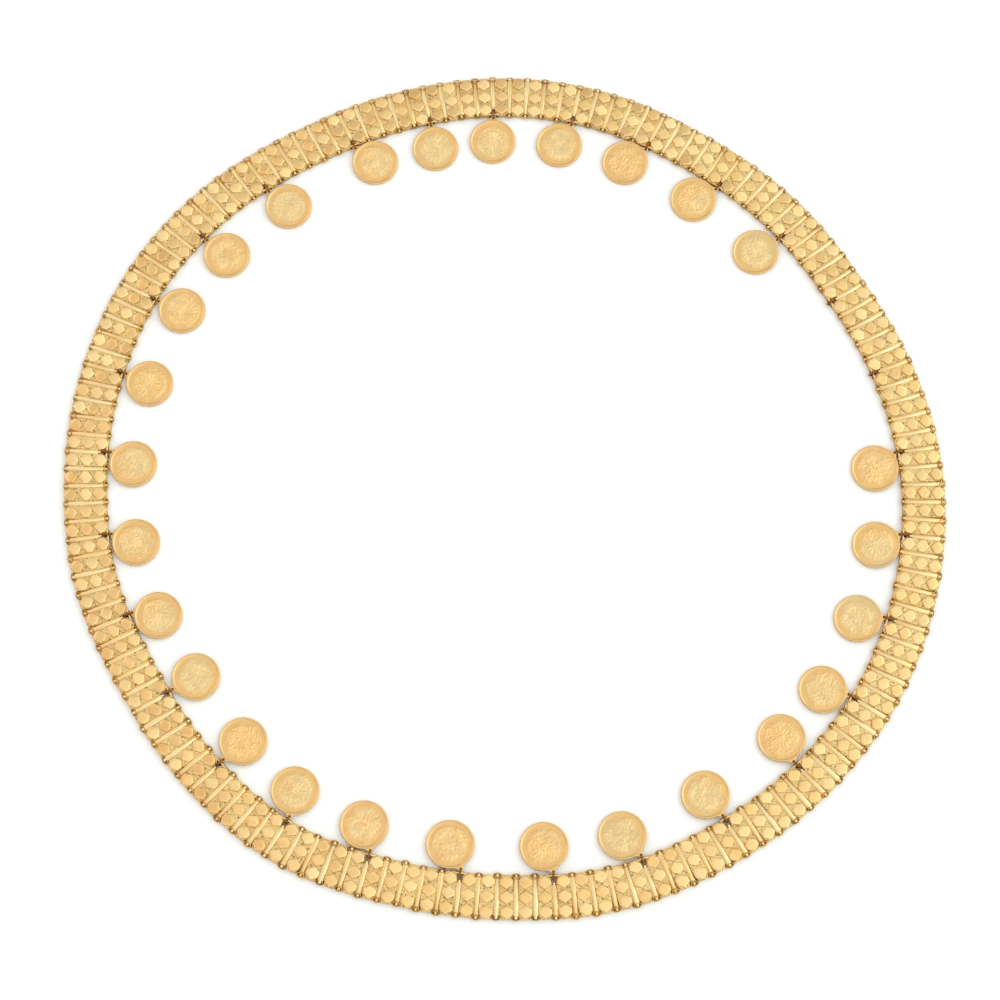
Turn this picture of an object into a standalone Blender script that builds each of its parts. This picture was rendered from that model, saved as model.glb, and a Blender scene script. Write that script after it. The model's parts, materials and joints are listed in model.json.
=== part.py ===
"""A closed waist chain of flat gold links, laid flat, with coins on jump rings along its inner edge."""

import math

import bmesh
import bpy
import numpy as np
from mathutils import Matrix, Vector

# Units
MM = 0.001

# Loop of the band: its middle line as a radius about the loop's centre.
# angle_deg counts anticlockwise from +X, radius_mm is to the middle of the band.
LOOP = [
    # angle_deg, radius_mm
    (0, 151.5),
    (15, 148.5),
    (30, 145.5),
    (45, 146.0),
    (60, 146.5),
    (75, 149.0),
    (90, 150.0),
    (105, 149.5),
    (120, 149.5),
    (135, 152.0),
    (150, 153.5),
    (165, 153.0),
    (180, 152.0),
    (195, 151.5),
    (210, 149.5),
    (225, 151.0),
    (240, 152.5),
    (255, 150.5),
    (270, 150.5),
    (285, 152.5),
    (300, 152.5),
    (315, 153.5),
    (330, 154.0),
    (345, 153.0),
]
LOOP_SAMPLES = 2880

# Links: a joint lies after each link, and both are counted clockwise from the far side of the loop.
# Joint 0 lies at FIRST_JOINT, and the links are pushed together and drawn apart by CROWDING at most.
LINK_COUNT = 145
PLATE_LENGTH = 5.0 * MM
PLATE_WIDTH = 15.4 * MM
PLATE_TOP = 1.85 * MM
FIRST_JOINT = 29.5 * MM
CROWDING = 4.5 * MM
CROWDED_JOINT = 25

# Facets: three to a plate, corner to corner across it.
FACET_ROWS = (-1, 0, 1)
FACET_LENGTH = 4.8 * MM
FACET_WIDTH = 4.9 * MM
FACET_TOP = 2.4 * MM
FACET_FLAT = 0.74
FACET_SINK = 0.1 * MM

# Hinge bars between the plates. Each one reaches into the plates beside it by BAR_OVERLAP.
BAR_WIDTH = 15.0 * MM
BAR_BOTTOM = 0.3 * MM
BAR_TOP = 1.6 * MM
BAR_OVERLAP = 0.6 * MM
CLEARANCE = 0.3 * MM

# Eye on the inner edge at a joint that carries a jump ring.
EYE_BAR = 0.7 * MM
EYE_INSET = 0.1 * MM
EYE_SLOT = 1.9 * MM

# Jump rings stand upright, each one round its eye.
RING_RADIUS = 1.4 * MM
RING_WIRE = 0.35 * MM
RING_SIDES = 6
RING_WIRE_SIDES = 4
RING_FOOT = 0.05 * MM

# Coins with a lug on the rim.
COIN_RADIUS = 8.55 * MM
COIN_THICKNESS = 1.2 * MM
COIN_SIDES = 16
LUG_REACH = 9.4 * MM
LUG_RADIUS = 0.65 * MM
LUG_SIDES = 3

# What each jump ring carries. lean_deg is how far a coin lies round its ring, clockwise along the loop.
RINGS = [
    # joint, carries, lean_deg
    (0, "coin", -18),
    (5, "coin", -30),
    (10, "coin", -30),
    (15, "coin", -11),
    (20, "nothing", 0),
    (25, "nothing", 0),
    (30, "coin", 30),
    (35, "coin", 30),
    (40, "coin", 21),
    (45, "coin", 22),
    (50, "coin", -18),
    (55, "coin", 8),
    (60, "coin", 24),
    (65, "coin", 17),
    (70, "coin", 30),
    (75, "coin", 30),
    (80, "coin", 22),
    (85, "coin", 1),
    (90, "coin", -2),
    (95, "coin", -30),
    (100, "coin", -27),
    (105, "coin", -25),
    (110, "coin", -8),
    (115, "coin", 7),
    (120, "coin", 5),
    (125, "coin", 19),
    (131, "coin", 30),
    (136, "coin", -2),
    (140, "coin", -4),
]
LINKS_PAST_RING = 2

# Heights and offsets that follow from the sizes above
HALF_PLATE = PLATE_LENGTH / 2
EYE_EDGE = EYE_INSET - PLATE_WIDTH / 2
HINGE_OFFSET = EYE_EDGE + EYE_BAR / 2
HINGE_HEIGHT = RING_RADIUS + RING_WIRE + RING_FOOT

# Clean-up of joined shapes, and shading
WELD_DISTANCE = 0.002 * MM
FLAT_ANGLE = math.radians(0.2)
SHARP_ANGLE = math.radians(35)

# Colours
LINK_GOLD = (0.83, 0.60, 0.27, 1.0)
COIN_GOLD = (0.87, 0.65, 0.32, 1.0)
LINK_ROUGHNESS = 0.25
COIN_ROUGHNESS = 0.35


def clear_scene():
    """Empty the scene that Blender opens with."""
    for old in list(bpy.data.objects):
        bpy.data.objects.remove(old, do_unlink=True)


def gold(name, colour, roughness):
    """A plain metal material."""
    material = bpy.data.materials.new(name)
    material.use_nodes = True
    shader = material.node_tree.nodes["Principled BSDF"]
    shader.inputs["Base Color"].default_value = colour
    shader.inputs["Metallic"].default_value = 1.0
    shader.inputs["Roughness"].default_value = roughness
    return material


# The loop


def loop_radius(angle_deg):
    """Radius of the middle line, by a smooth curve through the rows of LOOP."""
    step = 360 / len(LOOP)
    place = (angle_deg % 360) / step
    row = int(place)
    part = place - row
    before, here, after, beyond = (LOOP[(row + k) % len(LOOP)][1] for k in (-1, 0, 1, 2))
    slope_here = (after - before) / 2
    slope_after = (beyond - here) / 2
    rise = after - here
    curve = slope_here * part
    curve += (3 * rise - 2 * slope_here - slope_after) * part**2
    curve += (slope_here + slope_after - 2 * rise) * part**3
    return (here + curve) * MM


def trace_loop():
    """Points of the middle line, clockwise from the far side, and the length run at each."""
    angles = [90 - 360 * k / LOOP_SAMPLES for k in range(LOOP_SAMPLES + 1)]
    radii = [loop_radius(a) for a in angles]
    x = np.array([r * math.cos(math.radians(a)) for r, a in zip(radii, angles)])
    y = np.array([r * math.sin(math.radians(a)) for r, a in zip(radii, angles)])
    run = np.concatenate([[0.0], np.cumsum(np.hypot(np.diff(x), np.diff(y)))])
    return x, y, run


LINE_X, LINE_Y, LINE_RUN = trace_loop()
LOOP_LENGTH = LINE_RUN[-1]
PITCH = LOOP_LENGTH / LINK_COUNT


def line_point(run):
    """Point of the middle line at a length run."""
    run = run % LOOP_LENGTH
    return Vector((np.interp(run, LINE_RUN, LINE_X), np.interp(run, LINE_RUN, LINE_Y), 0))


def line_frame(run):
    """Frame on the middle line: X along it, Y to the outside of the loop, Z up."""
    reach = PITCH / 2
    along = (line_point(run + reach) - line_point(run - reach)).normalized()
    across = Vector((-along.y, along.x, 0))
    frame = Matrix((along, across, Vector((0, 0, 1)))).transposed().to_4x4()
    frame.translation = line_point(run)
    return frame


def joint_run(joint):
    """Length run at a joint. The links are pushed together on one side of the loop."""
    swing = math.cos(2 * math.pi * (joint - CROWDED_JOINT) / LINK_COUNT)
    return PITCH * joint + FIRST_JOINT - CROWDING * swing


def joint_frame(joint):
    """Frame at the middle of a joint."""
    return line_frame(joint_run(joint))


def link_frame(link):
    """Frame at the middle of a link, which lies between the joint before it and its own."""
    return line_frame((joint_run(link - 1) + joint_run(link)) / 2)


# Solids


def add_box(bm, frame, along, across, up):
    """Add a box, given by its two ends on each of a frame's axes."""
    low = Vector((along[0], across[0], up[0]))
    high = Vector((along[1], across[1], up[1]))
    place = Matrix.Translation((low + high) / 2) @ Matrix.Diagonal(high - low).to_4x4()
    bmesh.ops.create_cube(bm, size=1, matrix=frame @ place)


def add_facet(bm, frame, row):
    """Add one raised facet, a low diamond with a flat top."""
    bottom = PLATE_TOP - FACET_SINK
    height = FACET_TOP - bottom
    centre = Matrix.Translation((0, row * PLATE_WIDTH / 3, bottom + height / 2))
    stretch = Matrix.Diagonal((FACET_LENGTH, FACET_WIDTH, 1, 1))
    bmesh.ops.create_cone(
        bm,
        cap_ends=True,
        segments=4,
        radius1=0.5,
        radius2=0.5 * FACET_FLAT,
        depth=height,
        matrix=frame @ centre @ stretch,
    )


def as_object(bm, name):
    """Turn a bmesh into an object in the scene."""
    mesh = bpy.data.meshes.new(name)
    bm.to_mesh(mesh)
    bm.free()
    thing = bpy.data.objects.new(name, mesh)
    bpy.context.scene.collection.objects.link(thing)
    return thing


def tidy_faces(bm):
    """Weld points that meet, and merge faces that lie in one plane."""
    bmesh.ops.remove_doubles(bm, verts=bm.verts, dist=WELD_DISTANCE)
    bmesh.ops.dissolve_limit(bm, angle_limit=FLAT_ANGLE, verts=bm.verts, edges=bm.edges)


def fuse(body, others):
    """Join objects into one closed body, and clean its flat faces."""
    for other in others:
        union = body.modifiers.new("union", "BOOLEAN")
        union.operation = "UNION"
        union.solver = "EXACT"
        union.object = other
    joined = bpy.data.meshes.new_from_object(body.evaluated_get(bpy.context.evaluated_depsgraph_get()))
    body.modifiers.clear()
    body.data = joined
    for other in others:
        bpy.data.objects.remove(other, do_unlink=True)
    bm = bmesh.new()
    bm.from_mesh(joined)
    tidy_faces(bm)
    bm.to_mesh(joined)
    bm.free()


def make_segment(name, first_link, last_link, ring_joint):
    """One stretch of the band: its plates, facets and hinge bars, with the eye for one jump ring."""
    plates = bmesh.new()
    facets = bmesh.new()
    bars = bmesh.new()
    half_width = PLATE_WIDTH / 2
    half_bar = BAR_WIDTH / 2
    up = (BAR_BOTTOM, BAR_TOP)
    for link in range(first_link, last_link + 1):
        frame = link_frame(link)
        add_box(plates, frame, (-HALF_PLATE, HALF_PLATE), (-half_width, half_width), (0, PLATE_TOP))
        for row in FACET_ROWS:
            add_facet(facets, frame, row)
    for joint in range(first_link, last_link):
        half_gap = (PITCH - PLATE_LENGTH) / 2 + BAR_OVERLAP
        frame = joint_frame(joint)
        if joint == ring_joint:
            eye_up = (HINGE_HEIGHT - EYE_BAR / 2, HINGE_HEIGHT + EYE_BAR / 2)
            eye_end = EYE_EDGE + EYE_BAR
            add_box(bars, frame, (-half_gap, half_gap), (EYE_EDGE, eye_end), eye_up)
            add_box(bars, frame, (-half_gap, half_gap), (eye_end + EYE_SLOT, half_bar), up)
        else:
            add_box(bars, frame, (-half_gap, half_gap), (-half_bar, half_bar), up)
    next_frame = link_frame(last_link + 1)
    distance = (next_frame.translation - link_frame(last_link).translation).length
    end = (HALF_PLATE - distance - BAR_OVERLAP, -HALF_PLATE - CLEARANCE)
    add_box(bars, next_frame, end, (-half_bar, half_bar), up)
    segment = as_object(plates, name)
    fuse(segment, [as_object(bars, "bars"), as_object(facets, "facets")])
    return segment


def make_ring(name):
    """One jump ring about its own centre, standing upright across X."""
    bpy.ops.mesh.primitive_torus_add(
        major_radius=RING_RADIUS,
        minor_radius=RING_WIRE,
        major_segments=RING_SIDES,
        minor_segments=RING_WIRE_SIDES,
    )
    ring = bpy.context.object
    ring.name = name
    ring.data.name = name
    ring.data.transform(Matrix.Rotation(math.pi / 2, 4, "Y"))
    return ring


def coin_outline():
    """Outline of a coin about its centre, with its lug towards negative Y."""
    spread = math.acos((COIN_RADIUS - LUG_RADIUS) / LUG_REACH)
    points = []
    for k in range(COIN_SIDES + 1):
        turn = spread + (2 * math.pi - 2 * spread) * k / COIN_SIDES
        points.append((COIN_RADIUS * math.sin(turn), -COIN_RADIUS * math.cos(turn)))
    for k in range(LUG_SIDES + 1):
        turn = -spread + 2 * spread * k / LUG_SIDES
        points.append((LUG_RADIUS * math.sin(turn), -LUG_REACH - LUG_RADIUS * math.cos(turn)))
    return points


def flat_solid(name, points, thickness):
    """A closed plate of even thickness from a flat outline."""
    curve = bpy.data.curves.new(name, "CURVE")
    curve.dimensions = "2D"
    curve.fill_mode = "BOTH"
    curve.extrude = thickness / 2
    spline = curve.splines.new("POLY")
    spline.points.add(len(points) - 1)
    for spot, (x, y) in zip(spline.points, points):
        spot.co = (x, y, 0, 1)
    spline.use_cyclic_u = True
    outline = bpy.data.objects.new(name, curve)
    bpy.context.scene.collection.objects.link(outline)
    mesh = bpy.data.meshes.new_from_object(outline.evaluated_get(bpy.context.evaluated_depsgraph_get()))
    bpy.data.objects.remove(outline, do_unlink=True)
    bpy.data.curves.remove(curve)
    bm = bmesh.new()
    bm.from_mesh(mesh)
    tidy_faces(bm)
    bmesh.ops.recalc_face_normals(bm, faces=bm.faces)
    return as_object(bm, name)


def hinge_frame(joint):
    """Frame at a jump ring's centre: Y into the loop, X along the band, Z up."""
    frame = joint_frame(joint)
    centre = frame @ Vector((0, HINGE_OFFSET, HINGE_HEIGHT))
    return Matrix.Translation(centre) @ frame.to_3x3().to_4x4() @ Matrix.Rotation(math.pi, 4, "Z")


def coin_drop(lean):
    """How far a coin tips below level, so that its far rim lies on the ground."""
    reach = RING_RADIUS + LUG_REACH * math.cos(lean) + COIN_RADIUS
    half = COIN_THICKNESS / 2
    return math.asin(HINGE_HEIGHT / math.hypot(reach, half)) - math.atan2(half, reach)


def make_coin(name, joint, lean_deg):
    """One coin with its jump ring, its origin on the axis that it swings on."""
    lean = math.radians(lean_deg)
    disc = flat_solid(name, coin_outline(), COIN_THICKNESS)
    lug = Vector((0, RING_RADIUS, 0))
    outward = Matrix.Rotation(lean, 4, "Z") @ Matrix.Translation((0, LUG_REACH, 0))
    disc.data.transform(Matrix.Translation(lug) @ outward)
    fuse(disc, [make_ring("ring")])
    disc.matrix_world = hinge_frame(joint) @ Matrix.Rotation(-coin_drop(lean), 4, "X")
    return disc


def make_empty_ring(name, joint):
    """A jump ring that carries nothing."""
    ring = make_ring(name)
    ring.matrix_world = hinge_frame(joint)
    return ring


def centre_on_origin(things):
    """Move everything so that the middle of its outline stands on the origin."""
    bpy.context.view_layer.update()
    corners = [thing.matrix_world @ v.co for thing in things for v in thing.data.vertices]
    x = [c.x for c in corners]
    y = [c.y for c in corners]
    middle = Vector(((min(x) + max(x)) / 2, (min(y) + max(y)) / 2, 0))
    for thing in things:
        thing.matrix_world = Matrix.Translation(-middle) @ thing.matrix_world


def finish(thing, colour, roughness, collection):
    """Give a piece its material and shading, and file it in the object's collection."""
    thing.data.materials.clear()
    thing.data.materials.append(gold(thing.name, colour, roughness))
    thing.data.shade_smooth()
    thing.data.set_sharp_from_angle(angle=SHARP_ANGLE)
    for home in list(thing.users_collection):
        home.objects.unlink(thing)
    collection.objects.link(thing)


def main():
    clear_scene()
    collection = bpy.data.collections.new("waist_chain")
    bpy.context.scene.collection.children.link(collection)
    segments = []
    coins = []
    empty_rings = []
    first_link = RINGS[-1][0] + LINKS_PAST_RING + 1 - LINK_COUNT
    for number, (joint, carries, lean_deg) in enumerate(RINGS, 1):
        last_link = joint + LINKS_PAST_RING
        segments.append(make_segment(f"band_{number:02d}", first_link, last_link, joint))
        first_link = last_link + 1
        if carries == "coin":
            coins.append(make_coin(f"coin_{len(coins) + 1:02d}", joint, lean_deg))
        else:
            empty_rings.append(make_empty_ring(f"ring_{len(empty_rings) + 1:02d}", joint))
    for thing in segments:
        finish(thing, LINK_GOLD, LINK_ROUGHNESS, collection)
    for thing in coins + empty_rings:
        finish(thing, COIN_GOLD, COIN_ROUGHNESS, collection)
    centre_on_origin(segments + coins + empty_rings)


if __name__ == "__main__":
    main()
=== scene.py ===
"""Dresses a waist chain of faceted gold links, with coins on jump rings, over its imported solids."""

import json
import math

import bmesh
import bpy
import numpy as np
from mathutils import Matrix, Vector, noise


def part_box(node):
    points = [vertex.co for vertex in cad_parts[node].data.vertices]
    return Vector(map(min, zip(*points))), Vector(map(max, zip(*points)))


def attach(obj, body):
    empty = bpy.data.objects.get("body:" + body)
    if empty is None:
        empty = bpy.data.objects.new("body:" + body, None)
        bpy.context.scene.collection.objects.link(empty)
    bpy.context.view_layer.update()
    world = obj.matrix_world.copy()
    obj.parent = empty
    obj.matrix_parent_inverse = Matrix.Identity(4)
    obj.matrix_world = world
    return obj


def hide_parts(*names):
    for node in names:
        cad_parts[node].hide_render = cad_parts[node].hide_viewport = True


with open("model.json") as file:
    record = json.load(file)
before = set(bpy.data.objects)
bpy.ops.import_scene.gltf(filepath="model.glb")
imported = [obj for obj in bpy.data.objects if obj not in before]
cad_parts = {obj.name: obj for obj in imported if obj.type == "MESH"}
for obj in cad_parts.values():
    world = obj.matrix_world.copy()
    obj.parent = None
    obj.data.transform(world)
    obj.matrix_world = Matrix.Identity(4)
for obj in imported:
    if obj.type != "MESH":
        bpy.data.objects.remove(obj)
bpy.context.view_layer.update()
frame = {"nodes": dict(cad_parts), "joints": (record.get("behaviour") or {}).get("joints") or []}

bl_info = {
    "name": "Waist chain",
    "version": (1, 0, 0),
    "blender": (4, 5, 0),
    "location": "3D View > Sidebar > Waist chain",
    "description": "Makes a closed chain of stamped gold links with coins along its inner edge",
    "category": "Add Mesh",
}

MM = 0.001

# How far the gold's cast drifts over the band, as factors on a colour: to rose and to straw.
ROSY = (1.02, 0.93, 0.8)
STRAW = (0.96, 1.05, 1.12)

# The gold finishes, and what each gives the eye.
FINISHES = {
    # name: how dark it drifts, roughness, mm across a patch of tone, mm across a mark, mm deep
    # A matt, grainy ground, duller than the facets. The punched dots are drawn coarser than real so that they
    # show.
    "Stippled gold-plated brass, stamped": (0.88, 0.36, 9, 0.5, 0.06),
    # Broad soft gloss with faint scratches, each facet a little different from the next.
    "Polished gold-plated brass, stamped": (0.87, 0.22, 5, 0.9, 0.02),
    # One long pale highlight down each bar.
    "Polished gold-plated brass wire, drawn": (0.94, 0.34, 4, 0.6, 0.02),
    # Small glints between darker gaps: the wire's darker colour is painted shade for the gaps in the loops.
    "Gold-plated brass wire, painted shade": (0.72, 0.26, 3, 0.5, 0.01),
    # Dull and brown: the brown is painted shade, so that the notches between the plates read dark.
    "Folded brass tabs, painted shade": (0.75, 0.45, 2, 0.5, 0.02),
    # The darkest metal on the chain, because its plating is rubbed off.
    "Brass wire, aged dark": (0.6, 0.28, 2, 0.5, 0.01),
}
# The odd deep pit in the stippled ground: a dark spot of painted shade, with no dent in the shape, also drawn
# coarser than real so that it shows.
PIT_MM = 1.5

# Noise on a coin's faces: its drift of tone, the tone of each coin, and specks, drawn coarser than real so
# that they show.
COIN_MARKS = {
    # name: mm across, detail
    "drift": (5, 3.0),
    "batch": (38, 0.0),
    "specks": (0.8, 2.0),
}
SPECK_DEPTH = 0.11 * MM

# Sockets of a Mix node that mixes colours: the two that go in and the one that comes out.
FIRST, SECOND, MIXED = 6, 7, 2

# The band's middle line, as a radius about the loop's centre.
# angle_deg counts anticlockwise from +X, radius_mm is to the middle of the band.
LOOP = [
    # angle_deg, radius_mm
    (0, 151.5),
    (15, 148.5),
    (30, 145.5),
    (45, 146.0),
    (60, 146.5),
    (75, 149.0),
    (90, 150.0),
    (105, 149.5),
    (120, 149.5),
    (135, 152.0),
    (150, 153.5),
    (165, 153.0),
    (180, 152.0),
    (195, 151.5),
    (210, 149.5),
    (225, 151.0),
    (240, 152.5),
    (255, 150.5),
    (270, 150.5),
    (285, 152.5),
    (300, 152.5),
    (315, 153.5),
    (330, 154.0),
    (345, 153.0),
]
LOOP_SAMPLES = 2880

# Joints: how many, where the first one is, how far the links are pushed together and near which joint, which
# joints carry a jump ring, and how far in from the middle line its hinge is.
LINK_COUNT = 145
FIRST_JOINT = 29.5 * MM
CROWDING = 4.5 * MM
CROWDED_JOINT = 25
RING_JOINTS = [*range(0, 130, 5), 131, 136, 140]
HINGE_OFFSET = -7.25 * MM

# Hinge bars, wire eyes and edge rings.
BAR_SIDES = 8
BAR_PAST_PLATE = 0.2 * MM
BAR_TO_RING = 0.3 * MM
EYE_REACH = 1.7 * MM
EYE_SIDES = 10
EDGE_RING_INSET = 0.35 * MM
EDGE_RING_DROP = 0.2 * MM
EDGE_RING_DIP = math.radians(24)
EDGE_RING_SWAY = math.radians(1.75)

# The shares of a bar's tilt that plates and facets take.
PLATE_TILT = 0.15
FACET_TILT = 1.3
# The share of its slack inwards that a bar also has outwards.
OUTWARD_SLACK = 0.6

# Folded tabs: half their size along and across the band, and how far their middles lie in from the edge.
TAB_REACH = 1.7 * MM
TAB_DEPTH = 0.95 * MM
TAB_INSET = 0.75 * MM
TAB_SIDES = 10
# The two short tabs beside a jump ring.
SHORT_TAB_REACH = 0.62 * MM
SHORT_TAB_OFFSET = 1.25 * MM

# Coins: points round a face and rings of them across it, the patches where the relief is rubbed, the small
# knocks, and how far apart two coins lie in the noise that wears them.
COIN_SIDES = 144
FIELD_RINGS = 27
RUB_MM = 3.4
KNOCK_MM = 0.75
COIN_STEP_MM = 40
# Further than this from its hinge, a coin's solid has only the coin's rim.
RIM_FROM_HINGE = 4.5 * MM

# Lugs: thickness, rounding of the edges, play of the jump ring in the hole, depth of the root under the rim,
# points round the eye, and how near two points are made one.
LUG_THICKNESS = 0.9 * MM
LUG_ROUNDING = 0.1 * MM
LUG_PLAY = 0.06 * MM
LUG_SUNK = 0.35 * MM
LUG_SIDES = 16
LUG_WELD = 0.002 * MM

# Floor: so wide that its far edge is out of sight in the low views.
FLOOR_SIZE = 10.0

# Camera: how it looks at the chain as it lies.
CAMERA_AIM = Vector((-0.0015, -0.0073, 0.0))
CAMERA_DISTANCE = 0.87
CAMERA_ELEVATION = math.radians(75)
CAMERA_LENS = 86.4
CAMERA_SENSOR = 36


def linear(code):
    """A colour from its sRGB hex code, as the linear values that a shader takes."""
    parts = [int(code[k : k + 2], 16) / 255 for k in (1, 3, 5)]
    return tuple(p / 12.92 if p <= 0.04045 else ((p + 0.055) / 1.055) ** 2.4 for p in parts)


def scaled(colour, factors):
    """A colour with each part multiplied."""
    return tuple(c * f for c, f in zip(colour, factors))


def length_prop(name, description, millimetres):
    """A length that a user may change, given in millimetres."""
    return bpy.props.FloatProperty(
        name=name, description=description, default=millimetres * MM, unit="LENGTH", precision=5
    )


def angle_prop(name, description, degrees):
    """An angle that a user may change, given in degrees."""
    return bpy.props.FloatProperty(
        name=name, description=description, default=math.radians(degrees), subtype="ANGLE"
    )


def colour_prop(name, description, code):
    """A colour that a user may change, given by its sRGB hex code."""
    return bpy.props.FloatVectorProperty(
        name=name, description=description, default=linear(code), subtype="COLOR", min=0, max=1
    )


class ChainSizes(bpy.types.PropertyGroup):
    """Sizes of the pieces"""

    plate_length: length_prop("Plate length", "Length of a plate along the band", 5.02)
    plate_width: length_prop("Plate width", "Width of a plate across the band", 15.4)
    plate_top: length_prop("Plate height", "Height of a plate's stippled ground", 1.85)
    plate_foot: length_prop("Plate foot", "Height of a plate's underside, so that a tip stays clear", 0.1)
    plate_edge: length_prop("Plate edge", "Width of the rounding on a plate's edges", 0.12)
    notch_length: length_prop("Notch length", "Length along the band of the notch at a plate's corner", 1.2)
    notch_width: length_prop("Notch width", "Width across the band of the notch at a plate's corner", 1.7)
    facet_length: length_prop("Facet length", "Length of a facet along the band", 4.9)
    facet_width: length_prop("Facet width", "Width of a facet, corner to corner across the band", 5.2)
    facet_top: length_prop("Facet height", "Height of a facet's polished top", 2.27)
    facet_pitch: length_prop("Facet pitch", "Distance between facets across the band", 5.13)
    bar_width: length_prop("Bar width", "Half width of an oval hinge bar", 1.2)
    bar_depth: length_prop("Bar depth", "Half height of an oval hinge bar", 0.54)
    bar_height: length_prop("Bar height", "Height of a hinge bar's middle", 1.3)
    bead_radius: length_prop("Bead radius", "Radius of the bead on a hinge bar's end", 0.64)
    eye_radius: length_prop("Eye radius", "Radius of the wire eye that carries a jump ring", 0.33)
    edge_ring_length: length_prop("Edge ring length", "Half length of an edge ring along the band", 1.4)
    edge_ring_width: length_prop("Edge ring width", "Half width of an edge ring across the band", 0.78)
    edge_ring_wire: length_prop("Edge ring wire", "Radius of an edge ring's wire", 0.2)
    jump_ring_radius: length_prop("Jump ring radius", "Radius of a jump ring to the middle of its wire", 1.36)
    jump_ring_wire: length_prop("Jump ring wire", "Radius of a jump ring's wire", 0.42)
    coin_radius: length_prop("Coin radius", "Radius of a coin", 8.55)
    coin_thickness: length_prop("Coin thickness", "Thickness of a coin at its rim", 1.2)
    coin_rim: length_prop("Coin rim", "Width of a coin's plain rim", 0.7)
    coin_sink: length_prop("Coin sink", "Depth of a coin's field below its rim", 0.2)
    coin_relief: length_prop("Coin relief", "Height of the worn ornament on a coin", 0.16)
    lug_reach: length_prop("Lug reach", "Distance from a coin's centre to its lug's hole", 9.4)
    lug_radius: length_prop("Lug radius", "Radius of a coin's lug", 0.88)
    lug_root: length_prop("Lug root", "Half width of a coin's lug where it leaves the rim", 2.1)
    tilt: angle_prop("Tilt", "Most that a bar is tipped out of level. Plates tip less, facets more", 4)
    turn: angle_prop("Turn", "Most that a link is turned off its line", 1.3)
    slack: length_prop("Slack", "Most that a hinge bar sits in or out across the band", 0.28)
    seed: bpy.props.IntProperty(name="Seed", description="Seed of the small random tilts and wear", default=7)


class ChainColours(bpy.types.PropertyGroup):
    """Colours of the finishes"""

    facet: colour_prop("Facets", "Polished gold of the facets", "#EDC98D")
    ground: colour_prop("Ground", "Stippled gold between the facets", "#E5C487")
    bar: colour_prop("Bars", "Pale polished gold of the hinge bars", "#EDCF99")
    # The edge rings' darker gold is painted shade.
    wire: colour_prop("Wire", "Darker gold of the edge rings", "#CCA05A")
    # The tabs' dull dark gold is painted shade in the notches.
    tab: colour_prop("Tabs", "Dull gold of the tabs in the notches", "#A27838")
    jump_ring: colour_prop("Jump rings", "Dark aged gold of the jump rings", "#A87436")
    coin: colour_prop("Coins", "Warm gold of the coins' rims", "#F0C483")
    coin_field: colour_prop("Coin field", "Greyer gold of the coins' worn faces", "#E8CA92")
    floor: colour_prop("Floor", "Pale surface that the chain lies on", "#FAFAF8")


# The band's middle line


def loop_radius(angle_deg):
    """Radius of the middle line, by a smooth curve through the rows of LOOP."""
    step = 360 / len(LOOP)
    place = (angle_deg % 360) / step
    row = int(place)
    part = place - row
    before, here, after, beyond = (LOOP[(row + k) % len(LOOP)][1] for k in (-1, 0, 1, 2))
    slope_here = (after - before) / 2
    slope_after = (beyond - here) / 2
    rise = after - here
    curve = slope_here * part
    curve += (3 * rise - 2 * slope_here - slope_after) * part**2
    curve += (slope_here + slope_after - 2 * rise) * part**3
    return (here + curve) * MM


def trace_loop():
    """Points of the middle line, clockwise from the far side, and the length run at each."""
    angles = [90 - 360 * k / LOOP_SAMPLES for k in range(LOOP_SAMPLES + 1)]
    radii = [loop_radius(a) for a in angles]
    x = np.array([r * math.cos(math.radians(a)) for r, a in zip(radii, angles)])
    y = np.array([r * math.sin(math.radians(a)) for r, a in zip(radii, angles)])
    run = np.concatenate([[0.0], np.cumsum(np.hypot(np.diff(x), np.diff(y)))])
    return x, y, run


LINE_X, LINE_Y, LINE_RUN = trace_loop()
LOOP_LENGTH = LINE_RUN[-1]
PITCH = LOOP_LENGTH / LINK_COUNT


def line_point(run):
    """Point of the middle line at a length run, about the loop's own centre."""
    run = run % LOOP_LENGTH
    return Vector((np.interp(run, LINE_RUN, LINE_X), np.interp(run, LINE_RUN, LINE_Y), 0))


def line_frame(run):
    """Frame on the middle line: X along it, Y to the outside of the loop, Z up."""
    reach = PITCH / 2
    along = (line_point(run + reach) - line_point(run - reach)).normalized()
    across = Vector((-along.y, along.x, 0))
    place = Matrix((along, across, Vector((0, 0, 1)))).transposed().to_4x4()
    place.translation = line_point(run)
    return place


def joint_run(joint):
    """Length run at a joint. The links are pushed together on one side of the loop."""
    swing = math.cos(2 * math.pi * (joint - CROWDED_JOINT) / LINK_COUNT)
    return PITCH * joint + FIRST_JOINT - CROWDING * swing


def loop_shift():
    """Where the loop's centre lies in the frame, from the first coin's hinge."""
    hinge = Vector(frame["joints"][0]["pos_m"])
    shift = hinge - line_frame(joint_run(RING_JOINTS[0])) @ Vector((0, HINGE_OFFSET, 0))
    return Vector((shift.x, shift.y, 0))


SHIFT = Matrix.Translation(loop_shift())


def joint_frame(joint):
    """Frame at the middle of a joint, in the chain's own place."""
    return SHIFT @ line_frame(joint_run(joint))


def bar_frame(joint, sizes):
    """Frame of a hinge bar, which sits a little in or out across the band, by its joint's own seed."""
    random = np.random.default_rng(sizes.seed * 1000 + joint)
    shift = random.uniform(-sizes.slack, sizes.slack * OUTWARD_SLACK)
    return joint_frame(joint) @ Matrix.Translation((0, shift, 0))


def link_frame(link):
    """Frame at the middle of a link, in the chain's own place."""
    return SHIFT @ line_frame((joint_run(link - 1) + joint_run(link)) / 2)


def nodes_of(kind):
    """Names of the frame's nodes of one kind, in order."""
    return sorted(name for name in frame["nodes"] if name.startswith(kind))


# Meshes


def new_object(name, data):
    """A new object, linked into the scene."""
    thing = bpy.data.objects.new(name, data)
    bpy.context.scene.collection.objects.link(thing)
    return thing


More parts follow.
